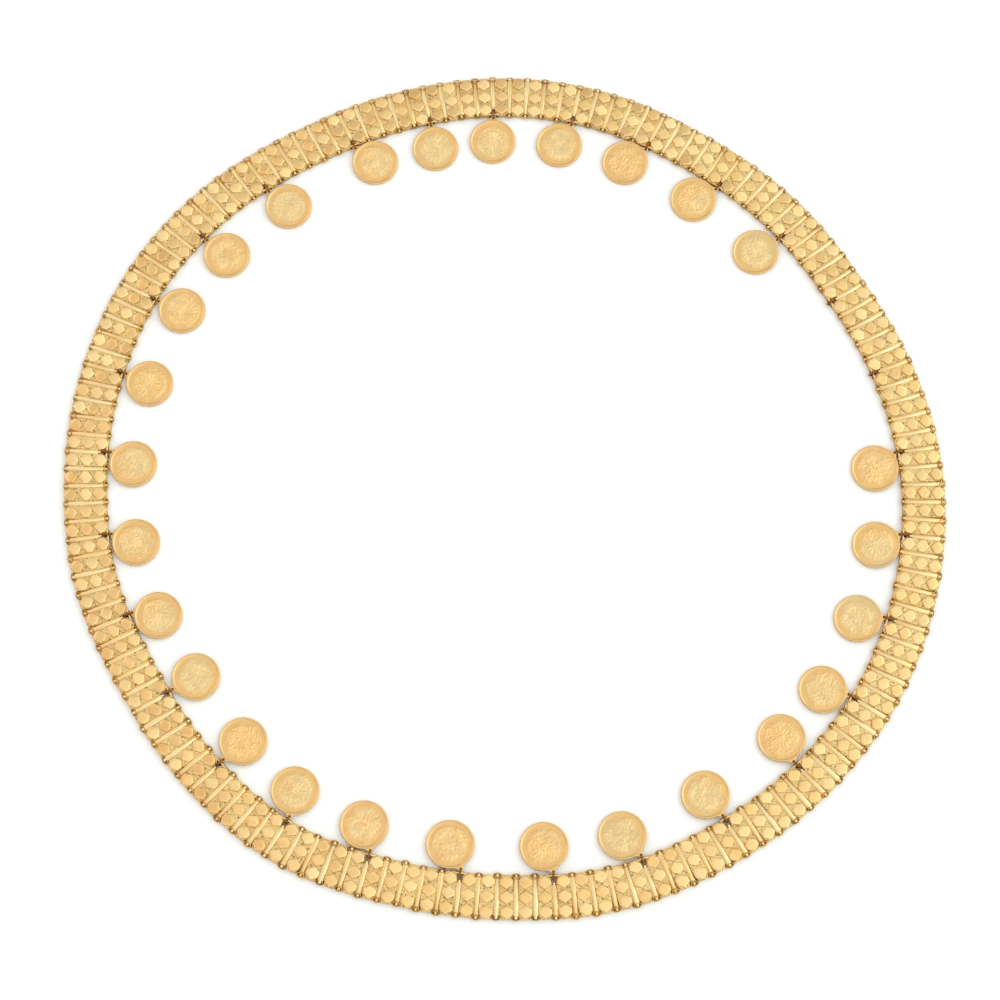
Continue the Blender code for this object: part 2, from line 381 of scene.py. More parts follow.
def plain_mesh(thing):
    """The mesh that an object's curve or modifiers give."""
    return bpy.data.meshes.new_from_object(thing.evaluated_get(bpy.context.evaluated_depsgraph_get()))


def shade(mesh, sharp_from):
    """Shade a mesh smooth, except at edges sharper than an angle in degrees."""
    mesh.shade_smooth()
    mesh.set_sharp_from_angle(angle=math.radians(sharp_from))


def mesh_object(name, verts, faces, sharp_from):
    """An object from points and faces, with its faces turned out."""
    mesh = bpy.data.meshes.new(name)
    mesh.from_pydata([tuple(v) for v in verts], [], faces)
    mesh.validate()
    shade(mesh, sharp_from)
    bm = bmesh.new()
    bm.from_mesh(mesh)
    bmesh.ops.recalc_face_normals(bm, faces=bm.faces)
    bm.to_mesh(mesh)
    bm.free()
    return new_object(name, mesh)


def circle(count):
    """Angles spaced evenly round a circle."""
    return [2 * math.pi * k / count for k in range(count)]


def loft(rings, cyclic=False):
    """Points and faces of a tube through rings of points, closed at its ends or run round into itself."""
    count = len(rings[0])
    verts = [p for ring in rings for p in ring]
    faces = []
    spans = len(rings) if cyclic else len(rings) - 1
    for r in range(spans):
        here = r * count
        there = (r + 1) % len(rings) * count
        for k in range(count):
            nxt = (k + 1) % count
            faces.append((here + k, here + nxt, there + nxt, there + k))
    if not cyclic:
        last = (len(rings) - 1) * count
        faces.append(tuple(reversed(range(count))))
        faces.append(tuple(range(last, last + count)))
    return verts, faces


def wire_ring(half_x, half_y, wire, sides, wire_sides):
    """Rings of points of an oval of wire that lies level about the origin."""
    rings = []
    for a in circle(sides):
        centre = Vector((half_x * math.cos(a), half_y * math.sin(a), 0))
        out = Vector((half_y * math.cos(a), half_x * math.sin(a), 0)).normalized()
        rings.append([
            centre + out * wire * math.cos(-b) + Vector((0, 0, wire * math.sin(-b)))
            for b in circle(wire_sides)
        ])
    return rings


def join(name, things):
    """Make one object of several, with their places in its mesh."""
    bm = bmesh.new()
    for thing in things:
        mesh = thing.data.copy()
        mesh.transform(thing.matrix_world)
        bm.from_mesh(mesh)
        bpy.data.meshes.remove(mesh)
    joined = bpy.data.meshes.new(name)
    bm.to_mesh(joined)
    bm.free()
    for material in things[0].data.materials:
        joined.materials.append(material)
    for thing in things:
        bpy.data.objects.remove(thing, do_unlink=True)
    return new_object(name, joined)


# Nodes


def add(tree, kind, settings=None, inputs=None):
    """Add a node with its settings, and give its inputs values or links from other nodes' outputs."""
    node = tree.nodes.new(kind)
    for key, value in (settings or {}).items():
        setattr(node, key, value)
    for key, value in (inputs or {}).items():
        if isinstance(value, bpy.types.NodeSocket):
            tree.links.new(value, node.inputs[key])
        else:
            node.inputs[key].default_value = value
    return node


def repeat_tree():
    """Geometry Nodes that set one piece on every point of a path, each tipped by a seeded random angle."""
    name = "Repeat along the band"
    if name in bpy.data.node_groups:
        return bpy.data.node_groups[name]
    tree = bpy.data.node_groups.new(name, "GeometryNodeTree")
    sockets = [
        ("Path", "NodeSocketGeometry"),
        ("Piece", "NodeSocketObject"),
        ("Tilt", "NodeSocketFloat"),
        ("Seed", "NodeSocketInt"),
        ("Material", "NodeSocketMaterial"),
    ]
    for label, kind in sockets:
        tree.interface.new_socket(label, in_out="INPUT", socket_type=kind)
    tree.interface.new_socket("Geometry", in_out="OUTPUT", socket_type="NodeSocketGeometry")
    given = add(tree, "NodeGroupInput").outputs
    turn = add(tree, "GeometryNodeInputNamedAttribute", {"data_type": "FLOAT"}, {"Name": "turn"})
    low = add(tree, "ShaderNodeMath", {"operation": "MULTIPLY"}, {0: given["Tilt"], 1: -1.0})
    tips = []
    for step in (0, 1):
        seed = add(tree, "ShaderNodeMath", {"operation": "ADD"}, {0: given["Seed"], 1: float(step)})
        tip = add(
            tree,
            "FunctionNodeRandomValue",
            {"data_type": "FLOAT"},
            {2: low.outputs[0], 3: given["Tilt"], "Seed": seed.outputs[0]},
        )
        tips.append(tip.outputs[1])
    angles = add(tree, "ShaderNodeCombineXYZ", None, {"X": tips[0], "Y": tips[1], "Z": turn.outputs[0]})
    piece = add(tree, "GeometryNodeObjectInfo", {"transform_space": "ORIGINAL"}, {"Object": given["Piece"]})
    placed = add(
        tree,
        "GeometryNodeInstanceOnPoints",
        None,
        {"Points": given["Path"], "Instance": piece.outputs["Geometry"], "Rotation": angles.outputs[0]},
    )
    tone = add(tree, "FunctionNodeRandomValue", {"data_type": "FLOAT"}, {"Seed": given["Seed"]})
    toned = add(
        tree,
        "GeometryNodeStoreNamedAttribute",
        {"data_type": "FLOAT", "domain": "INSTANCE"},
        {"Geometry": placed.outputs[0], "Name": "tone", "Value": tone.outputs[1]},
    )
    real = add(tree, "GeometryNodeRealizeInstances", None, {"Geometry": toned.outputs[0]})
    painted = add(
        tree, "GeometryNodeSetMaterial", None, {"Geometry": real.outputs[0], "Material": given["Material"]}
    )
    add(tree, "NodeGroupOutput", None, {"Geometry": painted.outputs[0]})
    return tree


def along_band(name, piece, places, tilt, seed, material):
    """Repeat a piece at places on the band, as one plain mesh. The piece is used up."""
    mesh = bpy.data.meshes.new(name)
    mesh.from_pydata([tuple(place.translation) for place in places], [], [])
    turns = mesh.attributes.new("turn", "FLOAT", "POINT")
    turns.data.foreach_set("value", [math.atan2(place[1][0], place[0][0]) for place in places])
    path = new_object(name, mesh)
    tree = repeat_tree()
    modifier = path.modifiers.new("repeat", "NODES")
    modifier.node_group = tree
    values = {"Piece": piece, "Tilt": tilt, "Seed": seed, "Material": material}
    for socket in tree.interface.items_tree:
        if socket.name in values:
            modifier[socket.identifier] = values[socket.name]
    made = plain_mesh(path)
    path.modifiers.remove(modifier)
    path.data = made
    bpy.data.objects.remove(piece, do_unlink=True)
    return path


# Materials


def new_material(name, metallic=1.0):
    """A node material, with its node tree and its shader."""
    material = bpy.data.materials.new(name)
    material.use_nodes = True
    shader = material.node_tree.nodes["Principled BSDF"]
    shader.inputs["Metallic"].default_value = metallic
    return material, material.node_tree, shader


def gold(name, colour, dotted=False):
    """Gold-coloured metal, by its row of FINISHES: a slow drift of tone, uneven polish, fine marks as bump.

    The marks are punched dots with painted shade between them and the odd pit painted dark as painted shade,
    or short soft scratches. Each repeated piece has its own tone.
    """
    dark, roughness, patch_mm, mark_mm, mark_depth = FINISHES[name]
    material, tree, shader = new_material(name)
    place = add(tree, "ShaderNodeTexCoord").outputs["Object"]
    drift = add(
        tree, "ShaderNodeTexNoise", None, {"Vector": place, "Scale": 1 / (patch_mm * MM), "Detail": 3.0}
    )
    hues = add(tree, "ShaderNodeSeparateColor", None, {0: drift.outputs["Color"]})
    own = add(tree, "ShaderNodeAttribute", {"attribute_name": "tone"}).outputs["Fac"]
    hue, level = (
        add(tree, "ShaderNodeMath", {"operation": "MULTIPLY_ADD"}, {0: own, 1: 0.5, 2: part})
        for part in (hues.outputs[1], drift.outputs["Fac"])
    )
    share = add(
        tree, "ShaderNodeMapRange", None, {"Value": hue.outputs[0], "From Min": 0.4, "From Max": 1.1}
    )
    cast = add(
        tree,
        "ShaderNodeMix",
        {"data_type": "RGBA"},
        {
            "Factor": share.outputs[0],
            FIRST: (*scaled(colour, ROSY), 1),
            SECOND: (*scaled(colour, STRAW), 1),
        },
    )
    dim = add(
        tree,
        "ShaderNodeMapRange",
        None,
        {"Value": level.outputs[0], "From Min": 0.35, "From Max": 1.1, "To Min": dark, "To Max": 2 - dark},
    )
    tone = add(
        tree,
        "ShaderNodeVectorMath",
        {"operation": "SCALE"},
        {0: cast.outputs[MIXED], "Scale": dim.outputs[0]},
    )
    base = tone.outputs[0]
    rough = add(
        tree,
        "ShaderNodeMapRange",
        None,
        {"Value": drift.outputs["Fac"], "To Min": roughness * 1.25, "To Max": roughness * 0.8},
    )
    # The stippled ground is darkened between its dots and in its pits: painted shade.
    if dotted:
        dots, deep = (
            add(
                tree,
                "ShaderNodeTexVoronoi",
                {"feature": "F1"},
                {"Vector": place, "Scale": 1 / (size * MM), "Randomness": uneven},
            )
            for size, uneven in ((mark_mm, 0.85), (PIT_MM, 1.0))
        )
        height = dots.outputs["Distance"]
        # distance from a dot or pit, where its shade starts and is full, how much colour is left
        hollows = [(height, 0.45, 0.85, 0.6), (deep.outputs["Distance"], 0.3, 0.16, 0.42)]
        for distance, start, full, left in hollows:
            shade_mask = add(
                tree, "ShaderNodeMapRange", None, {"Value": distance, "From Min": start, "From Max": full}
            )
            base = add(
                tree,
                "ShaderNodeMix",
                {"data_type": "RGBA"},
                {"Factor": shade_mask.outputs[0], FIRST: base, SECOND: (*(c * dark * left for c in colour), 1)},
            ).outputs[MIXED]
    else:
        stretched = add(tree, "ShaderNodeMapping", None, {"Vector": place, "Scale": (1.0, 2.2, 1.0)})
        scratches = add(
            tree,
            "ShaderNodeTexNoise",
            None,
            {"Vector": stretched.outputs[0], "Scale": 1 / (mark_mm * MM), "Detail": 4.0},
        )
        height = scratches.outputs["Fac"]
    bump = add(
        tree, "ShaderNodeBump", None, {"Height": height, "Distance": mark_depth * MM, "Strength": 1.0}
    )
    tree.links.new(base, shader.inputs["Base Color"])
    tree.links.new(rough.outputs[0], shader.inputs["Roughness"])
    tree.links.new(bump.outputs[0], shader.inputs["Normal"])
    return material


def coin_gold(colour, field):
    """Struck brass with worn plate: a smooth warm rim, and a duller, greyer field with fine specks."""
    material, tree, shader = new_material("Struck gold-plated brass, worn")
    place = add(tree, "ShaderNodeTexCoord").outputs["Object"]
    relief, rim = (
        add(tree, "ShaderNodeAttribute", {"attribute_name": name}).outputs["Fac"]
        for name in ("relief", "rim")
    )
    drift, batch, specks = (
        add(
            tree, "ShaderNodeTexNoise", None, {"Vector": place, "Scale": 1 / (size * MM), "Detail": detail}
        ).outputs["Fac"]
        for size, detail in COIN_MARKS.values()
    )
    # The tone differs a little from coin to coin, then drifts over each coin, and is warmest on the rim.
    lot = add(tree, "ShaderNodeMath", {"operation": "MULTIPLY_ADD"}, {0: batch, 1: 2.4, 2: -1.2})
    drifted = add(tree, "ShaderNodeMath", {"operation": "ADD"}, {0: drift, 1: lot.outputs[0]})
    warm = add(
        tree, "ShaderNodeMath", {"operation": "MULTIPLY_ADD"}, {0: rim, 1: 0.6, 2: drifted.outputs[0]}
    )
    share = add(
        tree, "ShaderNodeMapRange", None, {"Value": warm.outputs[0], "From Min": 0.4, "From Max": 0.9}
    )
    tone = add(
        tree,
        "ShaderNodeMix",
        {"data_type": "RGBA"},
        {"Factor": share.outputs[0], FIRST: (*field, 1), SECOND: (*colour, 1)},
    )
    # The specks are on the field alone. They and the relief catch the light, and the hollows are darker.
    inside = add(tree, "ShaderNodeMath", {"operation": "SUBTRACT"}, {0: 1.0, 1: rim})
    speck = add(tree, "ShaderNodeMath", {"operation": "MULTIPLY"}, {0: specks, 1: inside.outputs[0]})
    worn = add(
        tree, "ShaderNodeMath", {"operation": "MULTIPLY_ADD"}, {0: speck.outputs[0], 1: 1.2, 2: relief}
    )
    dim = add(
        tree,
        "ShaderNodeMapRange",
        None,
        {"Value": worn.outputs[0], "From Min": 0.1, "From Max": 1.2, "To Min": 0.86, "To Max": 1.08},
    )
    lit = add(
        tree,
        "ShaderNodeVectorMath",
        {"operation": "SCALE"},
        {0: tone.outputs[MIXED], "Scale": dim.outputs[0]},
    )
    rough = add(
        tree, "ShaderNodeMapRange", None, {"Value": share.outputs[0], "To Min": 0.4, "To Max": 0.25}
    )
    bump = add(
        tree, "ShaderNodeBump", None, {"Height": speck.outputs[0], "Distance": SPECK_DEPTH, "Strength": 1.0}
    )
    tree.links.new(lit.outputs[0], shader.inputs["Base Color"])
    tree.links.new(rough.outputs[0], shader.inputs["Roughness"])
    tree.links.new(bump.outputs[0], shader.inputs["Normal"])
    return material


def plain_floor(colour):
    """Matt white paper: even and bright, with no gloss."""
    material, _, shader = new_material("Matt white paper", metallic=0.0)
    shader.inputs["Base Color"].default_value = (*colour, 1)
    shader.inputs["Roughness"].default_value = 0.9
    return material


# Pieces of a link


def plate_piece(sizes):
    """One stamped plate, with a notch at each corner that makes room for an edge ring."""
    x = sizes.plate_length / 2
    y = sizes.plate_width / 2
    inner_x = x - sizes.notch_length
    inner_y = y - sizes.notch_width
    outline = [(x, inner_y), (inner_x, y), (-inner_x, y), (-x, inner_y)]
    outline += [(-px, -py) for px, py in outline]
    bm = bmesh.new()
    base = bm.faces.new([bm.verts.new((px, py, sizes.plate_foot)) for px, py in outline])
    raised = bmesh.ops.extrude_face_region(bm, geom=[base])["geom"]
    top = [part for part in raised if isinstance(part, bmesh.types.BMVert)]
    bmesh.ops.translate(bm, verts=top, vec=(0, 0, sizes.plate_top - sizes.plate_foot))
    bmesh.ops.recalc_face_normals(bm, faces=bm.faces)
    bmesh.ops.bevel(bm, geom=bm.edges, offset=sizes.plate_edge, segments=1, profile=0.5, affect="EDGES")
    mesh = bpy.data.meshes.new("plate")
    bm.to_mesh(mesh)
    bm.free()
    shade(mesh, sharp_from=30)
    return new_object("plate", mesh)


def facet_piece(sizes):
    """One raised facet: a diamond with its two corners along the band cut off, and a flat polished top."""
    # corners of the outline, along and across the band, as shares of the facet's length and width
    corners = [(0, 0.5), (-0.49, 0.18), (-0.49, -0.18), (0, -0.5), (0.49, -0.18), (0.49, 0.18)]
    # scale of the outline, share of the rise
    steps = [(1.0, -0.7), (0.98, 0.08), (0.91, 0.72), (0.86, 0.92), (0.8, 0.99), (0.4, 1.02)]
    rise = sizes.facet_top - sizes.plate_top
    rings = [
        [
            (x * sizes.facet_length * scale, y * sizes.facet_width * scale, sizes.plate_top + rise * share)
            for x, y in corners
        ]
        for scale, share in steps
    ]
    return mesh_object("facet", *loft(rings), sharp_from=28)


def bar_piece(sizes, start, end):
    """One oval hinge bar from start to end across the band, with a round bead on each end."""
    bead = sizes.bead_radius
    # step from the end in beads, half width, half height
    half = [
        (0.0, 0.3 * bead, 0.3 * bead),
        (0.4, 0.9 * bead, 0.9 * bead),
        (0.95, bead, bead),
        (1.6, 0.75 * bead, 0.7 * bead),
        (2.1, sizes.bar_width, sizes.bar_depth),
    ]
    rows = [(start + step * bead, wide, tall) for step, wide, tall in half]
    rows += [(end - step * bead, wide, tall) for step, wide, tall in reversed(half)]
    rings = [
        [(wide * math.cos(-a), y, sizes.bar_height + tall * math.sin(-a)) for a in circle(BAR_SIDES)]
        for y, wide, tall in rows
    ]
    return mesh_object("bar", *loft(rings), sharp_from=80)


def eye_piece(sizes, height):
    """One wire eye between two plates on the inner edge, for a jump ring."""
    r = sizes.eye_radius
    # place along the band, radius: the two ends are rounded
    profile = [(-EYE_REACH - r, 0.15 * r), (-EYE_REACH - 0.6 * r, 0.8 * r), (-EYE_REACH, r)]
    profile += [(-x, radius) for x, radius in reversed(profile)]
    rings = [
        [(x, HINGE_OFFSET - radius * math.cos(-a), height + radius * math.sin(-a)) for a in circle(EYE_SIDES)]
        for x, radius in profile
    ]
    return mesh_object("eye", *loft(rings), sharp_from=80)


def tab_piece(sizes, side, reach=TAB_REACH):
    """One folded tab in the notches between two plates. side is 1 on the outer edge, -1 on the inner."""
    # A tab is a dark piece of painted shade in the notch between two plates.
    middle = side * (sizes.plate_width / 2 - TAB_INSET)
    # size of the outline, height. The foot is low enough to hold the bead of a tipped bar.
    steps = [(0.9, 0.05 * MM), (1.0, 0.2 * MM), (1.0, 0.85 * MM), (0.9, 1.0 * MM)]
    rings = [
        [(reach * size * math.cos(a), middle + TAB_DEPTH * size * math.sin(a), z) for a in circle(TAB_SIDES)]
        for size, z in steps
    ]
    return mesh_object("tab", *loft(rings), sharp_from=50)


def edge_ring_piece(sizes, side):
    """One oval edge ring. side is 1 on the outer edge, -1 on the inner."""
    rings = wire_ring(
        sizes.edge_ring_length, sizes.edge_ring_width, sizes.edge_ring_wire, sides=14, wire_sides=6
    )
    verts, faces = loft(rings, cyclic=True)
    dip = Matrix.Rotation(-side * EDGE_RING_DIP, 4, "X")
    middle = side * (sizes.plate_width / 2 - EDGE_RING_INSET)
    place = Matrix.Translation((0, middle, sizes.plate_top - EDGE_RING_DROP))
    return mesh_object("edge ring", [place @ dip @ Vector(v) for v in verts], faces, sharp_from=80)


# Coins


def hinge_of(coin):
    """Place of a coin's hinge: X along its axis, Y towards the coin, Z up."""
    joint = next(j for j in frame["joints"] if j["child"] == coin)
    axis = Vector(joint["axis"]).normalized()
    up = Vector((0, 0, 1))
    place = Matrix((axis, up.cross(axis), up)).transposed().to_4x4()
    place.translation = Vector(joint["pos_m"])
    return place


def coin_place(coin, sizes):
    """Place of a coin at rest, from its solid: origin at its middle, Y towards its lug, Z out of its face."""
    hinge = hinge_of(coin)
    back = hinge.inverted()
    # A circle through the points of the rim gives the coin's centre, and so how far it leans round its ring.
    points = [back @ v.co for v in frame["nodes"][coin].data.vertices]
    rim = np.array([(p.x, math.hypot(p.y, p.z)) for p in points if p.y > RIM_FROM_HINGE])
    ones = np.ones(len(rim))
    fit = np.linalg.lstsq(np.column_stack([2 * rim, ones]), (rim**2).sum(axis=1), rcond=None)[0]
    lean = math.atan2(-fit[0], fit[1] - sizes.jump_ring_radius)
    reach = sizes.jump_ring_radius + sizes.lug_reach * math.cos(lean) + sizes.coin_radius
    half = sizes.coin_thickness / 2
    height = hinge.translation.z
    # It is tipped down until its far edge rests on the floor.
    drop = math.asin(height / math.hypot(reach, half)) - math.atan2(half, reach)
    lug = Matrix.Translation((0, sizes.jump_ring_radius, 0))
    outward = Matrix.Rotation(lean, 4, "Z") @ Matrix.Translation((0, sizes.lug_reach, 0))
    return hinge @ Matrix.Rotation(-drop, 4, "X") @ lug @ outward @ Matrix.Rotation(math.pi, 4, "Z")


def smooth_step(low, high, value):
    """Rises smoothly from 0 at low to 1 at high."""
    t = np.clip((value - low) / (high - low), 0, 1)
    return t * t * (3 - 2 * t)


def ridge(value, middle, width):
    """A soft ridge: 1 at the middle, down to 0 a few widths away."""
    return np.exp(-(((value - middle) / width) ** 2))


def spray(r, a, middle, width, lean, count):
    """A ring of leaves on a stem."""
    leaf = np.clip(np.cos(count * (a + lean * (r - middle))), 0, 1)
    return np.maximum(leaf * ridge(r, middle, width), 0.7 * ridge(r, middle, 0.018))


def ornament(r, a, design):
    """A plain struck ornament of leaves, rays and beads, from 0 to 1, in one of three designs.

    r runs from 0 at the middle to 1 at the rim, a is the angle, and the numbers with r are places and widths.
    """
    half = 0.5 + 0.5 * np.tanh(4 * np.cos(a))
    if design == 0:
        rays = np.clip(np.cos(14 * a), 0, 1) ** 2
        rays = rays * smooth_step(0.16, 0.24, r) * (1 - smooth_step(0.42, 0.56, r))
        heart = ridge(r, 0.09, 0.05)
        shapes = [rays, heart, half * spray(r, a, 0.7, 0.08, 1.0, 24)]
    elif design == 1:
        petal = np.abs(np.cos(4 * a))
        rosette = 1 - smooth_step(0.2, 0.32, r + 0.12 * (1 - petal))
        shapes = [0.8 * rosette, spray(r, a, 0.54, 0.09, -0.8, 20), 0.8 * half * ridge(r, 0.78, 0.02)]
    else:
        both = np.abs(np.sin(a)) ** 0.6
        bead = np.clip(np.cos(36 * a), 0, 1) ** 0.7 * ridge(r, 0.8, 0.028)
        star = np.clip(np.cos(8 * a), 0, 1) * (1 - smooth_step(0.12, 0.3, r))
        shapes = [star, both * spray(r, a, 0.5, 0.1, 1.2, 16), 0.8 * bead]
    return np.maximum.reduce(shapes)


def coin_piece(name, sizes, turn, seed):
    """One coin about its centre: a raised plain rim round a worn ornament, on both faces."""
    half = sizes.coin_thickness / 2
    field = half - sizes.coin_sink
    inner = sizes.coin_radius - sizes.coin_rim
    radii = [inner * (k / FIELD_RINGS) for k in range(1, FIELD_RINGS + 1)]
    radii += [inner + sizes.coin_rim * step for step in (0.2, 0.45, 0.8)]
    angles = np.array(circle(COIN_SIDES))
    rings = []
    relief = []
    rim = []

    def add_face_ring(radius, flip):
        """Add one ring of points of a face, with how high each stands in the relief and how far it is rim."""
        share = radius / inner
        rise = smooth_step(inner - 0.1 * MM, inner + 0.22 * MM, radius)
        shape = ornament(np.full(COIN_SIDES, share), flip * angles + turn, seed % 3) * (1 - rise)
        struck = 1 - float(smooth_step(0.72, 0.9, share))
        worn = []
        for a, s in zip(angles, shape):
            spot = Vector((radius * math.cos(a), radius * math.sin(a), seed * COIN_STEP_MM * MM)) / MM
            rub = noise.noise(spot / RUB_MM)
            knocks = noise.noise(spot / KNOCK_MM)
            bumps = 0.5 * rub + (0.05 + 0.55 * struck) * knocks
            left = max(0.0, min(1.0, 0.6 + 1.6 * rub))
            worn.append(0.85 * s * left + bumps * (1 - rise))
        height = field + sizes.coin_relief * np.array(worn) + (half - field) * rise
        rings.append([(radius * math.cos(a), radius * math.sin(a), flip * h) for a, h in zip(angles, height)])
        relief.extend([w * (1 - rise) for w in worn])
        rim.extend([float(smooth_step(0.66, 0.84, share))] * COIN_SIDES)

    for radius in radii:
        add_face_ring(radius, 1)
    # share of the rim's width, height: the rounded edge
    edge = [
        (0.93, half - 0.06 * MM),
        (1.0, half - 0.2 * MM),
        (1.0, 0.2 * MM - half),
        (0.93, 0.06 * MM - half),
    ]
    for share, z in edge:
        radius = inner + sizes.coin_rim * share
        rings.append([(radius * math.cos(a), radius * math.sin(a), z) for a in angles])
        relief.extend([0.0] * COIN_SIDES)
        rim.extend([1.0] * COIN_SIDES)
    for radius in reversed(radii):
        add_face_ring(radius, -1)
    coin = mesh_object(name, *loft(rings), sharp_from=60)
    for label, values in (("relief", relief), ("rim", rim)):
        coin.data.attributes.new(label, "FLOAT", "POINT").data.foreach_set("value", values)
    return coin


def lug_piece(sizes):
    """The lug of a coin: it tapers from the rim to a small eye with a hole."""
    hole = sizes.jump_ring_wire + LUG_PLAY
    edge = sizes.coin_radius
    root = edge - LUG_SUNK
    spread = math.asin(sizes.lug_root / edge)
    # The outline runs under the rim from one side of the root to the other, then back round the eye.
    turns = [spread * (1 - k / 4) for k in range(9)]
    outline = [(root * math.sin(turn), root * math.cos(turn)) for turn in turns]
    outline.append((-sizes.lug_root, edge * math.cos(spread)))
    for k in range(LUG_SIDES + 1):
        a = math.pi * (k / LUG_SIDES - 0.5) * 1.1
        outline.append((sizes.lug_radius * math.sin(a), sizes.lug_reach + sizes.lug_radius * math.cos(a)))
    outline.append((sizes.lug_root, edge * math.cos(spread)))
    opening = [(hole * math.cos(a), sizes.lug_reach + hole * math.sin(a)) for a in circle(LUG_SIDES)]
    curve = bpy.data.curves.new("lug", "CURVE")
    curve.dimensions = "2D"
    curve.fill_mode = "BOTH"
    curve.extrude = LUG_THICKNESS / 2 - LUG_ROUNDING
    curve.bevel_depth = LUG_ROUNDING
    curve.bevel_resolution = 1
    curve.offset = -LUG_ROUNDING
    for points in (outline, opening):
        spline = curve.splines.new("POLY")
        spline.points.add(len(points) - 1)
        for spot, (x, y) in zip(spline.points, points):
            spot.co = (x, y, 0, 1)
        spline.use_cyclic_u = True
    shape = new_object("lug", curve)
    mesh = plain_mesh(shape)
    bpy.data.objects.remove(shape, do_unlink=True)
    bm = bmesh.new()
    bm.from_mesh(mesh)
    bmesh.ops.remove_doubles(bm, verts=bm.verts, dist=LUG_WELD)
    bmesh.ops.recalc_face_normals(bm, faces=bm.faces)
    bm.to_mesh(mesh)
    bm.free()
    shade(mesh, sharp_from=40)
    for label, value in (("relief", 0.0), ("rim", 1.0)):
        mesh.attributes.new(label, "FLOAT", "POINT").data.foreach_set("value", [value] * len(mesh.vertices))
    return new_object("lug", mesh)


def jump_ring_piece(name, sizes, place):
    """One jump ring, upright across the X of its place."""
    radius = sizes.jump_ring_radius
    rings = wire_ring(radius, radius, sizes.jump_ring_wire, sides=28, wire_sides=12)
    verts, faces = loft(rings, cyclic=True)
    upright = place @ Matrix.Rotation(math.pi / 2, 4, "Y")
    return mesh_object(name, [upright @ Vector(v) for v in verts], faces, sharp_from=80)


# Operators


class CHAIN_OT_links(bpy.types.Operator):
    """Make the stamped plates and their polished facets"""

    bl_idname = "chain.links"
    bl_label = "Links"

    def execute(self, context):
        sizes = context.scene.chain_sizes
        colours = context.scene.chain_colours
        random = np.random.default_rng(sizes.seed)
        turns = random.uniform(-sizes.turn, sizes.turn, LINK_COUNT)
        links = [link_frame(k) @ Matrix.Rotation(turns[k], 4, "Z") for k in range(LINK_COUNT)]
        stippled = gold("Stippled gold-plated brass, stamped", colours.ground, dotted=True)
        plate = plate_piece(sizes)
        plates = along_band("link_plates", plate, links, sizes.tilt * PLATE_TILT, sizes.seed, stippled)
        bands = nodes_of("band_")
        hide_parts(*bands)
        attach(plates, "band")
        polished = gold("Polished gold-plated brass, stamped", colours.facet)
        rows = [Matrix.Translation((0, row * sizes.facet_pitch, 0)) for row in (-1, 0, 1)]
        spots = [link @ row for link in links for row in rows]
        facet = facet_piece(sizes)
        tilt = sizes.tilt * FACET_TILT
        facets = along_band("link_facets", facet, spots, tilt, sizes.seed + 2, polished)
        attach(facets, "band")
        return {"FINISHED"}


class CHAIN_OT_hinges(bpy.types.Operator):
    """Make the hinge bars between the plates, and the eyes that carry the jump rings"""

    bl_idname = "chain.hinges"
    bl_label = "Hinge bars"

    def execute(self, context):
        sizes = context.scene.chain_sizes
        colours = context.scene.chain_colours
        material = gold("Polished gold-plated brass wire, drawn", colours.bar)
        plain = [bar_frame(j, sizes) for j in range(LINK_COUNT) if j not in RING_JOINTS]
        ringed = [joint_frame(j) for j in RING_JOINTS]
        end = sizes.plate_width / 2 + BAR_PAST_PLATE
        short = HINGE_OFFSET + sizes.jump_ring_radius + sizes.jump_ring_wire + BAR_TO_RING
        height = frame["joints"][0]["pos_m"][2]
        groups = [
            along_band("bars", bar_piece(sizes, -end, end), plain, sizes.tilt, sizes.seed + 4, material),
            along_band("short_bars", bar_piece(sizes, short, end), ringed, 0.0, sizes.seed, material),
            along_band("eyes", eye_piece(sizes, height), ringed, 0.0, sizes.seed, material),
        ]
        bars = join("hinge_bars", groups)
        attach(bars, "band")
        return {"FINISHED"}


class CHAIN_OT_edge_rings(bpy.types.Operator):
    """Make the small oval rings along both edges of the band, and the tabs under them"""

    bl_idname = "chain.edge_rings"
    bl_label = "Edge rings"

    def execute(self, context):
        sizes = context.scene.chain_sizes
        colours = context.scene.chain_colours
        # The rings' wire is darker gold: painted shade at the band's edges.
        material = gold("Gold-plated brass wire, painted shade", colours.wire)
        plain = [bar_frame(j, sizes) for j in range(LINK_COUNT) if j not in RING_JOINTS]
        every = [bar_frame(j, sizes) for j in range(LINK_COUNT)]
        groups = [
            along_band("outer", edge_ring_piece(sizes, 1), every, EDGE_RING_SWAY, sizes.seed + 6, material),
            along_band("inner", edge_ring_piece(sizes, -1), plain, EDGE_RING_SWAY, sizes.seed + 8, material),
        ]
        rings = join("edge_rings", groups)
        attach(rings, "band")
        # The tabs are dark as painted shade in the notches and round the bar ends.
        painted_shade_tabs = gold("Folded brass tabs, painted shade", colours.tab)
        tabs = [
            along_band("outer_tabs", tab_piece(sizes, 1), every, 0.0, sizes.seed, painted_shade_tabs),
            along_band("inner_tabs", tab_piece(sizes, -1), plain, 0.0, sizes.seed, painted_shade_tabs),
        ]
        for side in (-1, 1):
            offset = Matrix.Translation((side * SHORT_TAB_OFFSET, 0, 0))
            beside = [joint_frame(j) @ offset for j in RING_JOINTS]
            short = tab_piece(sizes, -1, SHORT_TAB_REACH)
            tabs.append(along_band("short_tabs", short, beside, 0.0, sizes.seed, painted_shade_tabs))
        seats = join("edge_seats", tabs)
        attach(seats, "band")
        return {"FINISHED"}


